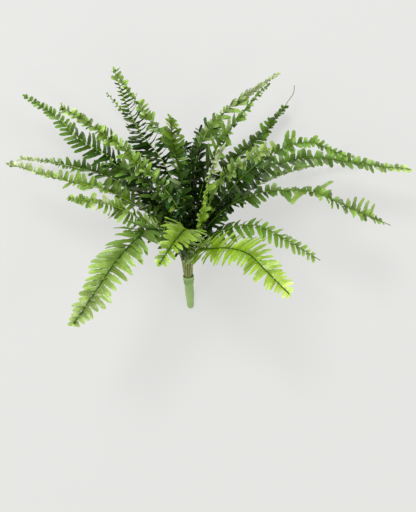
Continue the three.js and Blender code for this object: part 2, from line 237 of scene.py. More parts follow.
leafFinish = {
    "veins": 8.5,           # side veins on a leaflet
    "veinSlant": 1.5,
    "veinShade": (0.95, 1.04),
    "ribShade": (0.8, 1.0),
    "ribShadeEnds": (0.02, 0.16),    # as shares of half the blade's width
    "ribWidth": 0.2,
    "reliefDepth": 0.14,
    "veinRelief": 0.35,     # as shares of the midrib's
    "grainRelief": 0.4,
    "mottle": (9, 3.0),     # size and detail of a noise
    "mottleShade": (0.8, 1.16),
    "grain": (1.6, 2.0),
    "roughness": (0.15, 0.3),
    "glossTints": (0.02, 0.3),
    "gloss": (0.1, 0.55),   # specular level of the darkest and of the lightest greens
}


def leafMaterial():
    s = leafFinish
    material, tree, shader = startMaterial("leafPlastic")
    # The tint attribute holds each leaflet's green with its painted shade at the root and painted light at
    # the tip
    tint = attribute(tree, "tint", "Color")
    along = attribute(tree, "along", "Fac")
    away = sums(tree, "ABSOLUTE", attribute(tree, "across", "Fac"))
    mottle = noise(tree, *s["mottle"])
    grain = noise(tree, *s["grain"])
    phase = sums(tree, "SUBTRACT", sums(tree, "MULTIPLY", along, s["veins"]),
                 sums(tree, "MULTIPLY", away, s["veinSlant"]))
    vein = sums(tree, "SINE", sums(tree, "MULTIPLY", phase, 2 * math.pi))
    midrib = remap(tree, away, 0.0, s["ribWidth"], 0.0, 1.0)
    shadeOfRib = remap(tree, away, *s["ribShadeEnds"], *s["ribShade"])
    shadeOfVein = remap(tree, vein, -1.0, 1.0, *s["veinShade"])
    shadeOfMottle = overNoise(tree, mottle, s["mottleShade"])
    strength = sums(tree, "MULTIPLY", sums(tree, "MULTIPLY", shadeOfRib, shadeOfVein), shadeOfMottle)
    colour = addNode(tree, "ShaderNodeVectorMath", {"operation": "SCALE"}, _0=tint, _3=strength)
    tree.links.new(colour, shader.inputs["Base Color"])
    tree.links.new(overNoise(tree, grain, s["roughness"]), shader.inputs["Roughness"])
    gloss = remap(tree, attribute(tree, "tint", "Fac"), *s["glossTints"], *s["gloss"])
    tree.links.new(gloss, shader.inputs["Specular IOR Level"])
    relief = sums(tree, "ADD", sums(tree, "MULTIPLY", vein, s["veinRelief"]), midrib)
    relief = sums(tree, "ADD", relief, sums(tree, "MULTIPLY", grain, s["grainRelief"]))
    tree.links.new(bump(tree, relief, s["reliefDepth"]), shader.inputs["Normal"])
    return material


stemFinish = {
    "gloss": 0.18,
    "streaks": (5, 3.0),
    "streakShade": (0.8, 1.15),
    "roughness": (0.42, 0.58),
    "grain": (1.2, 2.0),
    "grainDepth": 0.08,
}


def stemMaterial():
    s = stemFinish
    material, tree, shader = startMaterial("stemPlastic", Specular_IOR_Level=s["gloss"])
    tint = attribute(tree, "tint", "Color")
    streak = noise(tree, *s["streaks"])
    shade = overNoise(tree, streak, s["streakShade"])
    colour = addNode(tree, "ShaderNodeVectorMath", {"operation": "SCALE"}, _0=tint, _3=shade)
    tree.links.new(colour, shader.inputs["Base Color"])
    tree.links.new(overNoise(tree, streak, s["roughness"]), shader.inputs["Roughness"])
    tree.links.new(bump(tree, noise(tree, *s["grain"]), s["grainDepth"]), shader.inputs["Normal"])
    return material


# Stems, and the rachis that each goes on as
rachis = {
    "stemPitch": 1.85,
    "bundleReach": 5,
    "spread": ((-12, 1), (0, 1.2), (7, 1.38)),     # of the bundle, by distance past the mouth
    "inset": 30,            # length of stem inside the sleeve
    "stemRadius": 0.85,
    "tipRadius": 0.5,
    "sides": 8,
    "step": 5,
    "spanSteps": 24,
    "faceShare": 0.6,       # where along a frond its face is given
    "bareStem": 58,
    "greening": (30, 110),  # where the wire's colour gives way to the rachis green
}

# Leaflets, with what a frond may state of its own
leaflet = {
    "pitch": 8.6,           # along the rachis, and near the tip
    "tipPitch": 6.8,
    "width": 6.8,
    "fullLength": 18,
    "narrowest": 0.6,
    "thickness": 0.4,
    "leans": (0.3, 0.3),
    "folds": (8, 8, 8, 8),
    "rolls": (0, 0),
    "mess": 8,              # how far folds stray, in degrees
    "sway": 0.025,          # how far a blade snakes, as a share of its length
    "vary": 0.17,
    "widthSpread": (0.92, 1.08),
    "taper": 0.35,          # from 0, an oblong blade, to 1, a tapered one
    "jitter": 0.12,         # of a leaflet's place, as a share of the pitch
    "curl": (0.02, 0.14),
    "droop": (0.02, 0.2),
    "cup": (0.5, 1.3),
    "ripple": (0.05, 0.3),
    "rippleWaves": 9,
    "phase": (0, 6.28),     # one turn
    "rise": (-12, 14),      # leaflets reach their full length between these, from the bare stem's end
    "early": 4,             # the first leaflets stand this far before the bare stem's end
    "tipRoom": 2,           # bare length before the last leaflet
    "closerFrom": 0.5,      # share of a frond from which the pitch goes over to the tip's
    "tipLeanEnds": (0.66, 0.84),
    "drift": {"slow": 0.4, "foldWave": 70, "rollWave": 50, "roll": 1.6, "lean": 0.012, "turn": 0.035},
    "inner": {"ends": (0.3, 0.58), "width": 0.86, "length": 0.76, "pitch": 0.76, "mess": 16},
    "shortest": 2.5,
    "greensFrom": 0.2,      # share of a frond at which its first green, for most fronds painted shade of the bush's middle, starts to give way
    "tones": (0.55, 1.5),
    "paintedHighlightOnes": 0.06,       # share of leaflets painted paler as a painted highlight, from these places on
    "paintedHighlightEnds": (0.2, 0.6),
    "paintedHighlightLift": 1.4,
    "paintedHighlightShare": 0.3,
    # Painted shade darkens a leaflet towards its root, and painted light lightens and pales it towards its
    # tip
    "rootPaintedShade": 0.62,
    "tintRise": 1.2,        # power by which a leaflet's painted light rises to its tip
    "rootPaintedDark": 0.3,        # painted shade at the very root, and how far that reaches along
    "rootPaintedDarkReach": 0.12,
    "tipPaintedLight": (1.15, 1.6),
    "tipPaintedPale": 0.14,
    "auricle": 0.12,        # how much the side nearer the tip widens at the leaflet's root
    "crease": 0.28,
    "creaseEnds": (0.02, 0.4),
    "scallop": 0.07,
    "segments": 10,
    "sharpAngle": 1,
    "crowding": 0.055,      # of the segments towards root and tip
    "stagger": 0.3,         # share of the pitch between the leaflets of a pair
    "rootDepth": 0.6,       # below the middle of the rachis
    "lift": 0.25,           # of the lowest corner from the floor
    "foldTries": (0, 14, -14, 28, -28, 45, -45),    # added until a leaflet is clear of other fronds
    "scaleTries": (1, 0.8, 0.6),
}

# Places along a frond, as shares of its length, at which the lengths of its leaflets are given
stations = (0.3, 0.5, 0.7, 0.85, 1)

# What the five short fronds inside the bush share; their deep greens are painted shade
innerFrond = {
    "slot": "dark", "width": 5.6, "pitch": 6.6, "mess": 50, "tones": (0.5, 1.7), "paintedHighlightOnes": 0,
    "left": (18, 17, 16, 13, 9), "right": (18, 17, 16, 13, 9),
    "greens": ("deep", "deep", "shade"), "rib": "dark",
}

# Each frond: seat in the bundle counted from the middle, the way its face looks, lengths of its leaflets on
# the left and right of the rachis at the stations, greens from stem to tip, green of its rachis, and route
# round the mouth in x and y and above the floor in z. What a frond doesn't state comes from rachis and
# leaflet. Folds are of its left leaflets at stem and tip, then of its right ones. Rolls and leans are left
# and right, and tipLean adds to the lean near the tip. The bare lengths are of wire, and an orderly frond is
# as even near the stem as further out. Singles are leaflets that stand out: share of the frond's length, side
# (-1 left, 1 right), length, width, lean, fold and green.
# For most fronds the first greens, deep or shade, are painted shade in the middle of the bush, and fronds
# seen in shade, such as top_dark and left_upper, keep darker greens further out, painted shade as well
fronds = [
    {"name": "left_upper", "slot": "dark", "seat": 7, "face": (4, 5, 8), "folds": (-10, -5, -10, -5),
     "rolls": (32, 5), "leans": (0.55, 0.4), "width": 6, "pitch": 8.6, "mess": 12, "tones": (0.6, 1.7),
     "sway": 0.05, "paintedHighlightOnes": 0.1, "left": (26, 24, 18, 10, 5), "right": (28, 30, 24, 10, 5),
     "greens": ("deep", "shade", "dark", "mid", "mid"), "rib": "fresh",
     "route": [(-11, 51, 56), (-59, 127, 68), (-100, 163, 74), (-136, 185, 76), (-160, 201, 76),
               (-193, 235, 72), (-237, 262, 64)]},
    {"name": "left_high", "slot": "mid", "seat": 5, "face": (2, 3, 8), "folds": (20, 35, 20, 35),
     "width": 6.6, "pitch": 4.8, "mess": 44, "sway": 0.06, "tones": (0.5, 1.4), "paintedHighlightOnes": 0.35,
     "left": (16, 15, 14, 10, 7), "right": (16, 15, 12, 9, 7),
     "greens": ("shade", "bluish", "leafy", "leafy", "fresh"), "rib": "fresh",
     "singles": [(0.4, -1, 14, 7, -0.2, 0, "lime"), (0.45, 1, 15, 8, 0.2, 10, "bluish")],
     "route": [(-8, 55, 86), (-15, 99, 125), (-41, 132, 150), (-78, 166, 166), (-117, 197, 170),
               (-168, 229, 164)]},
    {"name": "left_wide", "slot": "bright", "seat": 21, "face": (3, 7, 5), "folds": (5, 35, 20, 45),
     "leans": (0.15, 0.05), "width": 7.2, "mess": 26, "sway": 0.04, "paintedHighlightOnes": 0.2,
     "pitch": 7.6, "taper": 0.5, "vary": 0.25, "left": (26, 27, 22, 9, 5), "right": (26, 21, 15, 12, 6),
     "greens": ("shade", "moss", "leafy", "fresh", "pale"), "rib": "lime",
     "singles": [(0.98, 1, 8, 6, 0.3, 20, "mid"), (0.97, -1, 7, 6, 0.3, 10, "mid")],
     "route": [(-17, 52, 70), (-49, 84, 84), (-89, 110, 94), (-126, 125, 100), (-194, 141, 100),
               (-256, 161, 92)]},
    {"name": "left_low", "slot": "dark", "seat": 18, "face": (1, 6, 7), "folds": (15, 30, 15, 30),
     "width": 6.6, "pitch": 6.4, "mess": 32, "paintedHighlightOnes": 0.1,
     "left": (26, 24, 15, 5, 4), "right": (28, 28, 18, 7, 4),
     "greens": ("shade", "dark", "mid", "mid", "pale"), "rib": "pale",
     "singles": [(0.985, -1, 9, 3.5, 1.1, 10, "pale"), (0.965, 1, 8, 4, 0.9, 0, "pale")],
     "route": [(-14, 50, 44), (-56, 107, 32), (-115, 145, 21), (-182, 164, 19), (-249, 175, 22)]},
    {"name": "left_inner", "slot": "mid", "seat": 17, "face": (1, 6, 7), "folds": (-20, -5, -20, -5),
     "rolls": (30, 0), "width": 6.4, "mess": 26, "sway": 0.07, "paintedHighlightOnes": 0.2,
     "vary": 0.25, "pitch": 6.2, "left": (26, 27, 19, 11, 6), "right": (26, 24, 16, 10, 7),
     "greens": ("moss", "leafy", "leafy", "fresh"), "rib": "fresh",
     "singles": [(0.8, 1, 15, 9, 0.1, 20, "pale"), (0.87, 1, 13, 8, -0.1, 25, "fresh"),
                 (0.86, -1, 16, 7, 0.05, 0, "pale"), (0.93, 1, 10, 6, 0.2, 10, "mid"),
                 (0.94, -1, 8, 6, 0.2, 0, "mid")],
     "route": [(-20, 48, 90), (-65, 80, 130), (-94, 95, 148), (-123, 103, 158), (-160, 108, 158)]},
    {"name": "front_left", "slot": "mid", "seat": 16, "face": (0, 6, 8), "leans": (0.18, 0.8),
     "width": 8.8, "pitch": 10, "mess": 13, "vary": 0.24, "tipRadius": 0.75,
     "taper": 0.6, "orderly": True, "tones": (0.75, 1.25), "rootPaintedShade": 0.5,
     "bareStem": 46, "left": (12, 26, 29, 23, 8), "right": (16, 27, 23, 17, 8),
     "greens": ("dark", "mid", "fresh", "soft"), "rib": "rib",
     "singles": [(0.45, -1, 34, 8, 0.55, 0, "mid"), (0.55, -1, 28, 7, 0.58, -5, "mid"),
                 (0.61, -1, 31, 10, 0.36, 0, "fresh")],
     "route": [(-16, 48, 98), (-50, 66, 150), (-64, 55, 178), (-91, 23, 205), (-113, -11, 220),
               (-144, -58, 224)]},
    {"name": "front_middle", "slot": "bright", "seat": 26, "face": (2, 7, 6), "leans": (0.4, 0.4),
     "width": 8, "mess": 12, "sway": 0.05, "tipRadius": 0.65,
     "taper": 0.8, "orderly": True, "tones": (0.75, 1.25), "pitch": 10, "bareStem": 46,
     "left": (18, 30, 27, 16, 8), "right": (18, 30, 25, 15, 8),
     "greens": ("leafy", "lime", "lime", "lime"), "rib": "rib",
     "route": [(0, 38, 82), (1, 64, 150), (-5, 61, 195), (-19, 41, 228), (-33, 19, 240)]},
    {"name": "top_dark", "slot": "dark", "seat": 0, "face": (0, -3, 5), "folds": (0, -10, 0, -10),
     "rolls": (20, 48), "leans": (0.25, 0.1), "width": 5.2, "pitch": 7, "mess": 26, "sway": 0.09,
     "taper": 0.8, "tones": (0.55, 1.7), "left": (24, 26, 20, 7, 5), "right": (26, 24, 14, 13, 8),
     "greens": ("deep", "shade", "shade", "dark", "leafy"), "rib": "fresh",
     "singles": [(0.97, 1, 8, 5, 0.6, 0, "fresh"), (0.96, -1, 8, 5, 0.5, 0, "fresh")],
     "route": [(-5, 53, 66), (-10, 105, 95), (-36, 164, 125), (-63, 197, 150), (-79, 230, 178),
               (-94, 273, 206)]},
    {"name": "back_left", "slot": "dark", "seat": 22, "face": (3, 2, 9), "width": 5.4, "mess": 24,
     "paintedHighlightOnes": 0.1, "rolls": (60, 40), "left": (24, 26, 20, 6, 2.6), "right": (24, 20, 12, 5, 2.6),
     "greens": ("deep", "shade", "dark", "fresh"), "rib": "fresh",
     "route": [(-7, 48, 46), (-26, 103, 34), (-59, 171, 22), (-79, 224, 20), (-104, 251, 21),
               (-121, 271, 24)]},
    {"name": "top_left", "slot": "mid", "seat": 3, "face": (7, 3, 5), "folds": (5, 10, 10, 20),
     "leans": (0.3, 0.2), "width": 5.6, "mess": 40, "sway": 0.04,
     "pitch": 6.2, "tones": (0.6, 1.7), "left": (28, 28, 20, 8, 4), "right": (24, 20, 15, 12, 6),
     "greens": ("deep", "dark", "bluish", "fresh", "fresh"), "rib": "fresh",
     "route": [(-2, 53, 56), (-6, 110, 74), (-17, 170, 86), (-40, 209, 92), (-63, 235, 96),
               (-81, 259, 98), (-98, 286, 96)]},
    {"name": "top_middle", "slot": "bright", "seat": 11, "face": (3, 9, -6), "folds": (20, 25, 20, 25),
     "leans": (0.3, 0.3), "width": 5.4, "pitch": 6.6, "mess": 34,
     "left": (16, 15, 15, 14, 6), "right": (16, 15, 15, 14, 6),
     "greens": ("deep", "shade", "dark", "moss", "lime"), "rib": "dark",
     "singles": [(0.5, -1, 13, 7, 0.2, 20, "lime")],
     "route": [(-1, 48, 78), (-4, 100, 125), (-12, 158, 172), (-18, 188, 205), (-19, 207, 236)]},
    {"name": "front_upright", "slot": "bright", "seat": 20, "face": (7, -1, 6), "folds": (25, 20, 25, 20),
     "width": 6.6, "mess": 36, "sway": 0.05, "left": (12, 10, 9, 10, 10), "right": (12, 12, 12, 13, 13),
     "greens": ("leafy", "lime", "lime", "pale"), "rib": "fresh",
     "singles": [(0.38, -1, 11, 6, 0.1, 0, "lime")],
     "route": [(5, 41, 80), (18, 71, 120), (25, 110, 168), (33, 139, 204), (42, 163, 234)]},
    {"name": "top_hooked", "slot": "mid", "seat": 8, "face": (-4, 6, 6), "folds": (5, 40, 0, 35),
     "leans": (0.35, 0.3), "width": 6.4, "pitch": 6.4, "mess": 26, "paintedHighlightOnes": 0.1,
     "tones": (0.55, 1.4), "rolls": (0, 10), "tipLean": 1,
     "left": (24, 15, 7, 6, 2.8), "right": (26, 26, 20, 6, 2.8),
     "greens": ("deep", "shade", "dark", "leafy", "olive", "pale"), "rib": "fresh",
     "singles": [(0.605, -1, 21, 6, 0.18, 0, "dark"), (0.635, -1, 31, 6.5, 0.24, 0, "dark"),
                 (0.67, -1, 22, 6, 0.44, 0, "dark"), (0.7, 1, 24, 8, 0.4, 10, "leafy"),
                 (0.56, 1, 26, 5, 0.2, 0, "mid"), (0.585, 1, 28, 5, 0.3, 10, "leafy"),
                 (0.615, 1, 28, 5, 0.35, 0, "mid"), (0.645, 1, 26, 5, 0.4, 10, "mid"),
                 (0.74, 1, 22, 8, 0.5, 10, "fresh"), (0.78, 1, 18, 8, 0.8, 10, "soft")],
     "route": [(2, 53, 58), (8, 117, 76), (18, 188, 86), (50, 231, 92), (73, 249, 96), (101, 267, 98),
               (130, 288, 98)]},
    {"name": "top_right", "slot": "dark", "seat": 2, "face": (-5, 6, 8), "rolls": (0, 35),
     "width": 6, "pitch": 6, "mess": 40, "folds": (-15, -15, 8, 8),
     "left": (24, 26, 24, 10, 4), "right": (22, 22, 18, 8, 4),
     "greens": ("deep", "shade", "mid", "leafy"), "rib": "mid",
     "singles": [(0.6, -1, 26, 5, 0.3, 0, "mid"), (0.64, -1, 26, 5, 0.3, 10, "leafy"),
                 (0.68, -1, 24, 5, 0.3, 0, "mid"), (0.72, -1, 20, 5, 0.3, 10, "leafy"),
                 (0.62, 1, 16, 3.5, 0.2, 0, "fresh"), (0.66, 1, 15, 3.5, 0.3, 0, "pale"),
                 (0.7, 1, 14, 3.5, 0.3, 0, "fresh")],
     "route": [(4, 52, 73), (18, 115, 104), (35, 165, 130), (58, 200, 150), (83, 232, 166),
               (110, 259, 180)]},
    {"name": "back_right", "slot": "dark", "seat": 19, "face": (-7, 5, 7), "bareTip": 32,
     "leans": (0.1, 0.4), "width": 6.6, "pitch": 6.8, "mess": 22,
     "tones": (0.6, 1.6), "paintedHighlightOnes": 0, "left": (24, 24, 20, 14, 8), "right": (24, 24, 16, 10, 7),
     "greens": ("deep", "shade", "moss", "moss"), "rib": "mid",
     "route": [(6, 50, 46), (25, 104, 36), (63, 166, 26), (106, 206, 22), (134, 239, 22), (148, 259, 23),
               (156, 271, 25), (157, 282, 27)]},
    {"name": "right_bright", "slot": "bright", "seat": 10, "face": (-4, 5, 6), "folds": (20, 20, 20, 20),
     "width": 7, "mess": 34, "sway": 0.05, "pitch": 7.6, "paintedHighlightOnes": 0.08, "tones": (0.55, 1.2),
     "left": (13, 12, 12, 14, 12), "right": (14, 14, 15, 14, 12),
     "greens": ("shade", "leafy", "leafy", "soft"), "rib": "fresh",
     "singles": [(0.42, 1, 12, 7, 0, 0, "lime")],
     "route": [(8, 49, 84), (29, 97, 128), (47, 131, 166), (78, 153, 206), (106, 166, 236)]},
    {"name": "right_arched", "slot": "mid", "seat": 4, "face": (-1, 7, 8), "folds": (10, 20, 10, 20),
     "width": 7, "mess": 15, "tones": (0.6, 1.6), "left": (24, 20, 10, 8, 5), "right": (24, 22, 17, 13, 7),
     "greens": ("deep", "shade", "dark", "mid", "leafy"), "rib": "mid",
     "singles": [(0.655, -1, 24, 5, -0.35, 0, "mid"), (0.675, -1, 26, 5, -0.3, 0, "leafy"),
                 (0.71, -1, 25, 7, -0.1, 0, "fresh"), (0.752, -1, 31, 7, 0.3, 0, "mid"),
                 (0.78, -1, 27, 7, 0.2, 0, "leafy"), (0.805, -1, 12, 6, 0.3, 0, "mid"),
                 (0.856, -1, 17, 7, 0.25, 0, "leafy")],
     "route": [(9, 48, 76), (46, 105, 106), (88, 149, 126), (126, 175, 136), (169, 185, 140),
               (219, 166, 138)]},
    {"name": "right_long", "slot": "dark", "seat": 24, "face": (-2, 7, 6), "leans": (0.1, 0.25),
     "width": 7.2, "mess": 14, "pitch": 8.4, "tones": (0.7, 1.8),
     "left": (28, 26, 20, 14, 7), "right": (28, 28, 19, 15, 9),
     "greens": ("deep", "dark", "mid", "mid", "soft"), "rib": "mid",
     "route": [(8, 47, 60), (40, 90, 70), (82, 131, 78), (121, 158, 84), (175, 169, 88), (235, 163, 88),
               (282, 156, 86), (318, 153, 84)]},
    {"name": "right_low", "slot": "dark", "seat": 23, "face": (-2, 9, 3), "folds": (25, 40, 25, 40),
     "width": 6.4, "mess": 20, "tipRadius": 0.8, "paintedHighlightOnes": 0.4,
     "left": (28, 28, 16, 6, 5), "right": (28, 26, 14, 6, 5),
     "greens": ("deep", "shade", "mid", "fresh", "pale"), "rib": "pale",
     "route": [(9, 44, 42), (50, 93, 30), (91, 127, 22), (136, 149, 20), (192, 165, 20), (245, 177, 24)]},
    {"name": "right_drooping", "slot": "mid", "seat": 15, "face": (0, 7, 6), "folds": (-20, 5, -20, 5),
     "leans": (0.1, 0.3), "bareTip": 14, "width": 7.4, "pitch": 8.4, "mess": 22, "sway": 0.04,
     "left": (26, 18, 16, 20, 6), "right": (28, 18, 6, 17, 7),
     "greens": ("shade", "dark", "mid", "leafy", "fresh"), "rib": "mid",
     "singles": [(0.745, -1, 50, 7, 0.26, 0, "fresh"), (0.62, 1, 26, 8, 0.3, 0, "mid"),
                 (0.69, 1, 29, 9, -0.55, 0, "fresh"), (0.885, -1, 40, 5, 0.05, 0, "leafy"),
                 (0.905, -1, 39, 5, 0.08, 0, "fresh"), (0.93, -1, 41, 5, 0.06, 0, "fresh"),
                 (0.953, -1, 36, 4.6, 0.1, 0, "fresh")],
     "route": [(12, 44, 84), (43, 86, 118), (76, 108, 136), (117, 118, 146), (171, 116, 152),
               (215, 98, 150), (279, 71, 144)]},
    {"name": "right_short", "slot": "mid", "seat": 14, "face": (1, 7, 7), "folds": (-12, 5, -25, 0),
     "leans": (0.35, 0.45), "width": 6.8, "mess": 14, "pitch": 10, "tones": (0.9, 1.7), "orderly": True,
     "bareStem": 44, "bareTip": 5, "left": (18, 16, 14, 15, 5), "right": (24, 22, 18, 15, 6),
     "greens": ("dark", "dark", "mid", "leafy", "soft"), "rib": "mid",
     "route": [(15, 42, 82), (37, 59, 112), (67, 70, 130), (100, 70, 140), (138, 50, 146),
               (183, 23, 142)]},
    {"name": "front_right", "slot": "bright", "seat": 25, "face": (-1, 5, 8), "leans": (0.5, 0.15),
     "width": 6.4, "mess": 11, "tipRadius": 0.75, "taper": 0.9, "orderly": True, "tones": (0.7, 1.18),
     "bareStem": 44, "pitch": 7.4, "rootPaintedShade": 0.95,
     "left": (22, 26, 27, 22, 8), "right": (24, 28, 26, 20, 8),
     "greens": ("lime", "lime", "lime", "lime", "bright"), "rib": "rib",
     "route": [(14, 35, 98), (34, 39, 150), (60, 39, 184), (83, 31, 204), (105, 9, 216),
               (134, -20, 220)]},
    {**innerFrond, "name": "back_middle", "seat": 12, "face": (1, 0, 9),
     "route": [(-3, 53, 40), (-6, 112, 24), (-6, 155, 16), (-4, 198, 11)]},
    {**innerFrond, "name": "back_inner", "seat": 13, "face": (-1, 0, 9),
     "route": [(3, 53, 40), (10, 112, 24), (14, 170, 14), (18, 222, 10)]},
    {**innerFrond, "name": "inner_left", "seat": 6, "face": (5, 5, 6), "width": 5.8,
     "left": (22, 22, 20, 17, 12), "right": (22, 22, 20, 17, 12),
     "greens": ("shade", "mid", "mid"),
     "route": [(-9, 49, 64), (-35, 104, 88), (-63, 139, 100), (-112, 160, 98)]},
    {**innerFrond, "name": "inner_middle", "seat": 1, "face": (-3, 1, 9),
     "route": [(1, 50, 62), (4, 118, 96), (6, 175, 118)]},
    {**innerFrond, "name": "inner_right", "seat": 9, "face": (-5, 6, 7), "width": 5.8,
     "left": (20, 20, 18, 15, 11), "right": (20, 20, 18, 15, 11),
     "greens": ("deep", "shade", "dark"),
     "route": [(6, 49, 60), (35, 99, 84), (66, 137, 98), (104, 158, 104)]},
]


def bundleSeats(count):
    # Triangular packing round the sleeve's axis, from the middle outwards. Seats as far out as each other, to
    # a thousandth, go by angle
    reach = range(-rachis["bundleReach"], rachis["bundleReach"] + 1)
    found = []
    for column in reach:
        for row in reach:
            x = rachis["stemPitch"] * (column + row / 2 - 0.5)
            y = rachis["stemPitch"] * (row * math.sqrt(3) / 2 - math.sqrt(3) / 6)
            found.append((round(math.hypot(x, y), 3), math.atan2(y, x), x, y))
    return [(x, y) for _, _, x, y in sorted(found)[:count]]


seats = bundleSeats(len(fronds))


def smoothLine(knots, steps):
    # Centripetal Catmull-Rom curve through the knots
    knots = [2 * knots[0] - knots[1], *knots, 2 * knots[-1] - knots[-2]]
    line = []
    for before, start, end, after in zip(knots, knots[1:], knots[2:], knots[3:]):
        first, middle, last = [
            np.linalg.norm(b - a) ** 0.5 for a, b in ((before, start), (start, end), (end, after))]
        leave = (start - before) / first - (end - before) / (first + middle) + (end - start) / middle
        arrive = (end - start) / middle - (after - start) / (middle + last) + (after - end) / last
        leave, arrive = leave * middle, arrive * middle
        for t in np.arange(steps) / steps:
            line.append(start + leave * t + (3 * (end - start) - 2 * leave - arrive) * t ** 2
                        + (2 * (start - end) + leave + arrive) * t ** 3)
    return np.array([*line, knots[-2]])


def unit(vectors):
    return vectors / np.linalg.norm(vectors, axis=-1, keepdims=True)


def squareTo(direction, tangent):
    return unit(direction - tangent * np.sum(direction * tangent, axis=-1, keepdims=True))


def makeSpine(frond):
    x, y = seats[frond["seat"]]
    seat = mouth + acrossBundle * x + overBundle * y
    knots = [between(mouth, seat, share) + axis * distance for distance, share in rachis["spread"]]
    knots += [np.array((mouth[0] + x, mouth[1] + y, z), float) for x, y, z in frond["route"]]
    points = np.vstack([seat - axis * rachis["inset"], smoothLine(knots, rachis["spanSteps"])])
    gaps = np.linalg.norm(np.diff(points, axis=0), axis=1)
    distances = np.concatenate([[0], np.cumsum(gaps)]) - rachis["inset"]
    tangents = unit(np.gradient(points, distances, axis=0))
    length = distances[-1]
    given = int(np.searchsorted(distances, length * rachis["faceShare"]))
    faces = np.zeros_like(points)
    faces[given] = squareTo(np.array(frond["face"], float), tangents[given])
    for i in range(given + 1, len(points)):
        faces[i] = squareTo(faces[i - 1], tangents[i])
    for i in range(given - 1, -1, -1):
        faces[i] = squareTo(faces[i + 1], tangents[i])
    return {"points": points, "distances": distances, "tangents": tangents, "faces": faces, "length": length}


def frameAt(spine, distance):
    point, tangent, face = [
        np.array([np.interp(distance, spine["distances"], spine[key][:, i]) for i in range(3)])
        for key in ("points", "tangents", "faces")]
    tangent = unit(tangent)
    face = squareTo(face, tangent)
    return point, tangent, face, np.cross(tangent, face)


def rampGreen(names, share):
    # For most fronds the first greens, held until greensFrom, are dark: painted shade where a frond runs into
    # the middle of the bush
    stops = np.array([linear(greens[name]) for name in names])
    places = np.linspace(leaflet["greensFrom"], 1, len(names))
    return np.array([np.interp(share, places, stops[:, i]) for i in range(3)])


def drawRachis(bm, frond, spine):
    # A straight tube, cut into rings and bent along the spine
    r = rachis
    rings = round((spine["length"] + r["inset"]) / r["step"])
    bmesh.ops.create_cone(
        bm, cap_ends=True, cap_tris=False, segments=r["sides"], radius1=1, radius2=1, depth=rings)
    longEdges = [edge for edge in bm.edges if edge.calc_length() > rings / 2]
    bmesh.ops.subdivide_edges(bm, edges=longEdges, cuts=rings - 1)
    tintLayer = bm.verts.layers.float_color.new("tint")
    bm.verts.layers.float.new("along")
    bm.verts.layers.float.new("across")
    frames = [frameAt(spine, distance) for distance in np.linspace(-r["inset"], spine["length"], rings + 1)]
    ribGreen = linear(greens[frond["rib"]])
    stemGreen = linear(greens["wire"])
    for corner in bm.verts:
        share = corner.co.z / rings + 0.5
        point, _, face, side = frames[round(share * rings)]
        distance = between(-r["inset"], spine["length"], share)
        tipRadius = frond.get("tipRadius", r["tipRadius"])
        radius = between(r["stemRadius"], tipRadius, max(0, distance) / spine["length"])
        corner.co = point + (side * corner.co.x + face * corner.co.y) * radius
        tint = between(stemGreen, ribGreen, smoothStep(distance, *r["greening"]))
        corner[tintLayer] = (*tint, 1)
    for side in bm.faces:
        side.material_index = 1
    smoothShell(bm)


def makeLeafletForm():
    # A flat blade from 0 to 1 along and -1 to 1 across, with its thickness from -1 to 1
    bm = bmesh.new()
    bmesh.ops.create_grid(bm, x_segments=leaflet["segments"], y_segments=2, size=1)
    raised = bmesh.ops.extrude_face_region(bm, geom=bm.faces[:])["geom"]
    top = [part for part in raised if isinstance(part, bmesh.types.BMVert)]
    bmesh.ops.translate(bm, verts=top, vec=(0, 0, 2))
    bmesh.ops.translate(bm, verts=bm.verts, vec=(0, 0, -1))
    smoothShell(bm, leaflet["sharpAngle"])
    mesh = meshFrom("leafletForm", bm)
    corners = np.array([corner.co for corner in mesh.vertices])
    evenly = (corners[:, 0] + 1) / 2
    along = evenly - leaflet["crowding"] * np.sin(2 * math.pi * evenly)
    for name, values in (("along", along), ("across", corners[:, 1])):
        mesh.attributes.new(name, "FLOAT", "POINT").data.foreach_set("value", values)
    mesh.attributes.new("tint", "FLOAT_COLOR", "POINT")
    sides = [tuple(side.vertices) for side in mesh.polygons]
    return {"mesh": mesh, "along": along, "across": corners[:, 1], "level": corners[:, 2],
            "step": np.round(evenly * leaflet["segments"]), "sides": sides}


form = makeLeafletForm()


# Half the width along a blade, as a share, with places as shares of its length. A pair is for an oblong blade
# and for a tapered one.
blade = {
    "root": 1.2,
    "rootEnd": 0.25,
    "shoulders": (0.92, 0.68),
    "shoulderEnds": (0.25, 0.8),
    "tipStart": (0.8, 0.64),
    "tipWidth": 0.14,
    "tipPowers": (2.2, 0.75),
    "earPlace": 0.13,
    "earReach": 0.09,
}


def bladeOutline(along, distal, taper):
    b = blade
    root = between(b["root"], 1, smoothStep(along, 0, b["rootEnd"]))
    shoulders = between(1, between(*b["shoulders"], taper), smoothStep(along, *b["shoulderEnds"]))
    tipStart = between(*b["tipStart"], taper)
    towardsTip = np.clip((along - tipStart) / (1 - tipStart), 0, 1)
    blunt, full = b["tipPowers"]
    tip = between(b["tipWidth"], 1, (1 - towardsTip ** blunt) ** full)
    ear = leaflet["auricle"] * np.exp(-((along - b["earPlace"]) / b["earReach"]) ** 2) * np.clip(distal, 0, 1)
    wave = leaflet["scallop"] * np.cos(form["step"] * math.pi) * (1 - towardsTip)
    return root * shoulders * tip + ear + wave


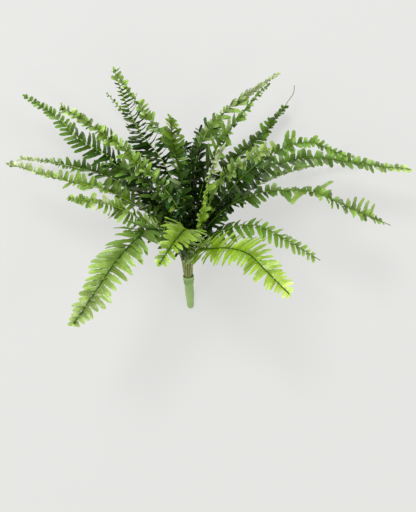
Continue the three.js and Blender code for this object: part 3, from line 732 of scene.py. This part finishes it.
def leafletCorners(place, fold, scale):
    # The blade's corners, bent as this leaflet is
    point, tangent, face, side = place["frame"]
    point = point - face * leaflet["rootDepth"]
    sign = place["sign"]
    angle = math.radians(fold)
    out = side * sign * math.cos(angle) + face * math.sin(angle)
    up = face * math.cos(angle) - side * sign * math.sin(angle)
    length = place["length"] * scale
    along, across = form["along"][:, None], form["across"][:, None] * sign
    turn = place["roll"] + place["turn"] * along
    snake = 2 * math.pi * along
    aside = place["lean"] * along + place["curl"] * along ** 2 + place["sway"] * along * np.sin(snake)
    swayRate = np.sin(snake) + snake * np.cos(snake)
    asideRate = place["lean"] + 2 * place["curl"] * along + place["sway"] * swayRate
    middle = point + length * (out * along + tangent * aside - up * place["droop"] * along ** 2)
    forward = unit(out + tangent * asideRate - up * 2 * place["droop"] * along)
    flat = squareTo(tangent * np.cos(turn) + up * np.sin(turn), forward)
    above = np.cross(forward, flat) * sign
    halfWidth = place["width"] / 2 * bladeOutline(form["along"], across[:, 0], place["taper"])[:, None]
    creaseRise = smoothStep(along, *leaflet["creaseEnds"])
    crease = leaflet["crease"] * halfWidth * np.abs(across) * place["cup"] * creaseRise
    waves = np.sin(form["along"] * leaflet["rippleWaves"] + place["phase"])[:, None]
    ripple = place["ripple"] * halfWidth * across * waves
    thick = form["level"][:, None] * leaflet["thickness"] / 2
    return middle + flat * halfWidth * across + above * (crease + ripple + thick)


obstacles = {}


def isClear(name, corners):
    if corners[:, 2].min() < leaflet["lift"]:
        return False
    tree = BVHTree.FromPolygons(corners.tolist(), form["sides"])
    return not any(other != name and tree.overlap(shape) for other, shape in obstacles.items())


def layLeaflet(bm, name, place):
    # The first fold and length that stay clear of the other fronds and of the floor
    along = form["along"][:, None]
    for scale in leaflet["scaleTries"]:
        for extra in leaflet["foldTries"]:
            corners = leafletCorners(place, place["fold"] + extra, scale)
            if isClear(name, corners):
                # The tint runs from painted shade at the root, deepest at the very root beside the rachis, to
                # painted light at the tip
                rise = along ** leaflet["tintRise"]
                tint = between(place["tint"] * place["rootPaintedShade"], place["tipTint"], rise)
                tint = tint * (1 - leaflet["rootPaintedDark"] * np.exp(-along / leaflet["rootPaintedDarkReach"]))
                tint = np.hstack([tint, np.ones((len(tint), 1))])
                form["mesh"].vertices.foreach_set("co", corners.ravel())
                form["mesh"].attributes["tint"].data.foreach_set("color", tint.ravel())
                bm.from_mesh(form["mesh"])
                return True
    return False


def leafletLength(frond, sign, distance, leafEnd):
    lengths = frond["right" if sign > 0 else "left"]
    bare = frond.get("bareStem", rachis["bareStem"])
    start, full = leaflet["rise"]
    coming = smoothStep(distance, bare + start, bare + full)
    return coming * np.interp(distance / leafEnd, stations, lengths)


def wander(distance, phase, wavelength):
    # A slow drift along a frond with a little scatter, from -1 to 1
    slow = leaflet["drift"]["slow"]
    wave = math.sin(2 * math.pi * distance / wavelength + phase)
    return slow * wave + (1 - slow) * draw.uniform(-1, 1)


def paintedLightTip(tint):
    # Painted light on the tip: lighter and a little paler
    tint = tint * draw.uniform(*leaflet["tipPaintedLight"])
    return between(tint, tint.mean(), leaflet["tipPaintedPale"])


def leafletLook(frond, share, length):
    # What strays from one leaflet to the next whatever its place
    s = {**leaflet, **frond}
    tint = rampGreen(frond["greens"], share) * draw.uniform(*s["tones"])
    # Now and then a leaflet is painted paler, a painted highlight
    if draw.random() < s["paintedHighlightOnes"] * smoothStep(share, *s["paintedHighlightEnds"]):
        tint = between(tint * s["paintedHighlightLift"], linear(greens["pale"]), s["paintedHighlightShare"])
    fullness = between(s["narrowest"], 1, min(1, length / s["fullLength"]))
    return {
        "length": length,
        "width": s["width"] * fullness * draw.uniform(*s["widthSpread"]),
        "curl": draw.uniform(*s["curl"]),
        "droop": draw.uniform(*s["droop"]),
        "cup": draw.uniform(*s["cup"]),
        "taper": s["taper"],
        "ripple": draw.uniform(*s["ripple"]),
        "phase": draw.uniform(*s["phase"]),
        "sway": draw.uniform(-s["sway"], s["sway"]),
        "tint": tint,
        "tipTint": paintedLightTip(tint),
        "rootPaintedShade": s["rootPaintedShade"],
    }


def leafletPlaces(frond, spine):
    s = {**leaflet, **frond}
    folds, rolls, leans, drift, inner = s["folds"], s["rolls"], s["leans"], s["drift"], s["inner"]
    places = []
    distance = frond.get("bareStem", rachis["bareStem"]) - s["early"]
    leafEnd = spine["length"] - frond.get("bareTip", 0)
    phases = [draw.uniform(*s["phase"]) for _ in range(4)]
    for share, sign, length, width, lean, fold, green in frond.get("singles", []):
        place = leafletLook(frond, share, length)
        tint = linear(greens[green])
        place.update(
            frame=frameAt(spine, share * leafEnd), sign=sign, width=width,
            fold=fold, lean=lean, roll=0, turn=0, tint=tint, tipTint=paintedLightTip(tint))
        places.append(place)
    while distance < leafEnd - s["tipRoom"]:
        share = distance / leafEnd
        inside = 1 - smoothStep(share, *inner["ends"])
        tipPitch = s["pitch"] * leaflet["tipPitch"] / leaflet["pitch"]
        step = between(s["pitch"], tipPitch, smoothStep(share, s["closerFrom"], 1))
        step *= between(1, inner["pitch"], inside)
        inside *= "orderly" not in frond
        stray = s["mess"] + inner["mess"] * inside
        for sign in (-1, 1):
            right = sign > 0
            at = distance + (s["stagger"] * right + s["jitter"] * draw.uniform(-1, 1)) * step
            length = leafletLength(frond, sign, at, leafEnd) * draw.uniform(1 - s["vary"], 1 + s["vary"])
            length *= between(1, inner["length"], inside)
            place = leafletLook(frond, share, length)
            place["width"] *= between(1, inner["width"], inside)
            foldDrift = wander(at, phases[right], drift["foldWave"])
            rollDrift = wander(at, phases[2 + right], drift["rollWave"])
            tipLean = frond.get("tipLean", 0) * smoothStep(share, *s["tipLeanEnds"])
            place.update(
                frame=frameAt(spine, at), sign=sign,
                fold=between(*folds[2 * right:2 * right + 2], share) + stray * foldDrift,
                roll=math.radians(rolls[right] + drift["roll"] * stray * rollDrift),
                lean=leans[right] + stray * draw.uniform(-drift["lean"], drift["lean"]) + tipLean,
                turn=stray * draw.uniform(-drift["turn"], drift["turn"]))
            if length > s["shortest"]:
                places.append(place)
        distance += step
    if "bareTip" not in frond:
        # A last leaflet points on from the end of the rachis
        length = max(frond["left"][-1], frond["right"][-1])
        point, tangent, face, side = frameAt(spine, leafEnd - length / 2)
        place = leafletLook(frond, 1, length)
        place.update(frame=(point, side, face, tangent), sign=1, fold=0, roll=0, lean=0, turn=0)
        places.append(place)
    return places


leafPlastic = leafMaterial()
stemPlastic = stemMaterial()
rachisMeshes = {}
for frond in fronds:
    frond["spine"] = makeSpine(frond)
    bm = bmesh.new()
    drawRachis(bm, frond, frond["spine"])
    obstacles[frond["name"]] = BVHTree.FromBMesh(bm)
    rachisMeshes[frond["name"]] = bm
print("spines and rachises:", len(fronds))

# From the front of the bush backwards
placed = dropped = 0
for frond in sorted(fronds, key=lambda frond: -frond["spine"]["points"][:, 2].mean()):
    bm = rachisMeshes[frond["name"]]
    for place in leafletPlaces(frond, frond["spine"]):
        if layLeaflet(bm, frond["name"], place):
            placed += 1
        else:
            dropped += 1
    obstacles[frond["name"]] = BVHTree.FromBMesh(bm)
    finishPiece("fine_" + frond["name"], bm, [leafPlastic, stemPlastic], "frond_" + frond["slot"],
                "frond_" + frond["name"])
print("leaflets:", placed, "left out:", dropped)


def sleeveRadius(depth):
    flare = sleeve["mouthFlare"] * (1 - smoothStep(depth, 0, sleeve["flareLength"]))
    taperEnd = sleeve["length"] - sleeve["endRadius"]
    taper = smoothStep(depth, sleeve["length"] * sleeve["taperStart"], taperEnd)
    return between(sleeve["radius"], sleeve["endRadius"], taper) + flare


def makeSleeve():
    s = sleeve
    bm = bmesh.new()
    endDepth = s["length"] - s["endRadius"]
    outerDepths = np.linspace(s["lipDepth"], endDepth, s["outlineSteps"])
    outer = [(sleeveRadius(depth), -depth) for depth in outerDepths]
    turns = np.radians(np.linspace(0, 90, s["heelSteps"] + 1))[1:]
    heel = s["endRadius"]
    heelLine = [(heel * math.cos(turn), -endDepth - heel * math.sin(turn)) for turn in turns]
    boreDepths = np.linspace(s["boreDepth"], s["lipDepth"], s["boreSteps"])
    bore = [(sleeveRadius(depth) - s["wall"], -depth) for depth in boreDepths]
    lip = [(sleeveRadius(0) - s["wall"] * share, rise) for share, rise in s["lip"]]
    outline = [(0, -s["boreDepth"]), *bore, *lip, *outer, *heelLine]
    corners = [bm.verts.new((max(radius, 0), 0, height)) for radius, height in outline]
    edges = [bm.edges.new(pair) for pair in zip(corners, corners[1:])]
    bmesh.ops.spin(bm, geom=corners + edges, cent=(0, 0, 0), axis=(0, 0, 1), angle=2 * math.pi,
                   steps=s["steps"], use_merge=True, use_duplicate=False)
    bmesh.ops.remove_doubles(bm, verts=bm.verts, dist=0.001)
    for corner in bm.verts:
        depth = -corner.co.z
        reach = math.hypot(corner.co.x, corner.co.y)
        onSeam = abs(corner.co.y) < s["seamHalfWidth"] and reach > sleeveRadius(depth) - s["skin"]
        if onSeam and s["seamStart"] < depth < endDepth:
            corner.co.x += math.copysign(s["seamHeight"], corner.co.x)
    smoothShell(bm)
    placeOnSleeve(bm)
    finishPiece("fine_sleeve", bm, [plainMaterial("sleevePlastic", s)], "sleeve", "sleeve")


# Binding tape: two slanted turns just below the mouth, each lapping over its own start
tape = {
    "tops": (4.6, 9.4),
    "width": 4.4,
    "gap": 0.32,
    "thickness": 0.3,
    "turn": 400,
    "nextStart": 200,       # angle between the starts of the two
    "slant": 1.1,
    "lap": 0.35,
    "lapEnds": (330, 362),
    "wrinkle": 0.05,
    "wrinkles": 7,
    "wrinkleSlant": 2,
    "sharpAngle": 0.7,
    "steps": 84,
    "rows": 4,
    "colour": (160, 196, 120),
    "shades": (0.85, 1.08),
    "clouds": (2.4, 4.0),
    "grain": (2.4, 4.0),
    "roughness": (0.5, 0.68),
    "relief": 0.12,
    "gloss": 0.4,
}


def makeTape(number, top, finish):
    t = tape
    bm = bmesh.new()
    bmesh.ops.create_grid(bm, x_segments=t["steps"], y_segments=t["rows"], size=1)
    for corner in bm.verts:
        share = (corner.co.x + 1) / 2
        angle = math.radians(share * t["turn"] + t["nextStart"] * number)
        depth = top + t["width"] * (corner.co.y + 1) / 2 + t["slant"] * math.sin(angle)
        lapping = t["lap"] * smoothStep(share * t["turn"], *t["lapEnds"])
        wrinkle = t["wrinkle"] * math.sin(angle * t["wrinkles"] + corner.co.y * t["wrinkleSlant"])
        radius = sleeveRadius(depth) + t["gap"] + lapping + wrinkle
        corner.co = (radius * math.cos(angle), radius * math.sin(angle), -depth)
    bmesh.ops.recalc_face_normals(bm, faces=bm.faces[:])
    bmesh.ops.solidify(bm, geom=bm.faces[:], thickness=t["thickness"])
    smoothShell(bm, t["sharpAngle"])
    placeOnSleeve(bm)
    finishPiece(f"fine_tape_{number + 1}", bm, [finish], "tape", f"binding_tape_{number + 1}")


makeSleeve()
tapeFinish = plainMaterial("bindingTape", tape)
for number, top in enumerate(tape["tops"]):
    makeTape(number, top, tapeFinish)
print("sleeve and tapes")

# Floor, light and camera
floor = {
    "size": 24,
    "colour": (140, 141, 138),
    "shades": (0.985, 1.01),
    "clouds": (300, 2.0),
    "roughness": 0.75,
    "gloss": 0.2,
    "glow": 0.53,
    "glowColour": (1.0, 1.0, 0.985),
}
studio = {
    "sky": 0.36,
    "skyColour": (1.0, 1.0, 0.985),
    "lamps": {
        "lamp_above": {"place": (-0.9, 2.0, 3.4), "size": 1.5, "power": 80},
        "lamp_left": {"place": (-2.5, -0.3, 3.2), "size": 1.2, "power": 22},
        "lamp_right": {"place": (2.4, 0.2, 3.2), "size": 1.4, "power": 17},
        "lamp_below": {"place": (0.4, -2.2, 3.5), "size": 1.3, "power": 20},
    },
}
camera = {"aim": (29, 29), "aimHeight": 60, "distance": 1500, "sensor": 36}
picture = {"height": 512, "millimetresPerPixel": 1.45}


def makeFloor():
    # Glows a little as if lit from behind on a light table, painted light that keeps shadows faint
    material, tree, shader = startMaterial(
        "paleFloor", Roughness=floor["roughness"], Specular_IOR_Level=floor["gloss"],
        Emission_Color=(*floor["glowColour"], 1), Emission_Strength=floor["glow"])
    cloudedColour(tree, shader, noise(tree, *floor["clouds"]), floor["colour"], floor["shades"])
    bm = bmesh.new()
    bmesh.ops.create_grid(bm, x_segments=1, y_segments=1, size=floor["size"] / 2)
    mesh = meshFrom("studio_floor", bm)
    mesh.materials.append(material)
    addObject("studio_floor", mesh)


def addLamp(name, settings):
    lamp = bpy.data.lights.new(name, "AREA")
    lamp.shape = "DISK"
    lamp.size = settings["size"]
    lamp.energy = settings["power"]
    holder = addObject(name, lamp)
    holder.location = settings["place"]
    holder.rotation_euler = (-holder.location).to_track_quat("-Z", "Y").to_euler()


def lightStudio():
    world = bpy.data.worlds.new("studio")
    world.use_nodes = True
    background = world.node_tree.nodes["Background"]
    background.inputs["Color"].default_value = (*studio["skyColour"], 1)
    background.inputs["Strength"].default_value = studio["sky"]
    bpy.context.scene.world = world
    for name, settings in studio["lamps"].items():
        addLamp(name, settings)
    bpy.context.scene.view_settings.view_transform = "Standard"


def setCamera():
    c = camera
    lens = bpy.data.cameras.new("camera")
    lens.sensor_width = c["sensor"]
    lens.lens = c["sensor"] * c["distance"] / (picture["height"] * picture["millimetresPerPixel"])
    holder = addObject("camera", lens)
    x, y = mouth[0] + c["aim"][0], mouth[1] + c["aim"][1]
    holder.location = [value * millimetre for value in (x, y, c["aimHeight"] + c["distance"])]
    bpy.context.scene.camera = holder


makeFloor()
lightStudio()
setCamera()
bpy.data.meshes.remove(form["mesh"])
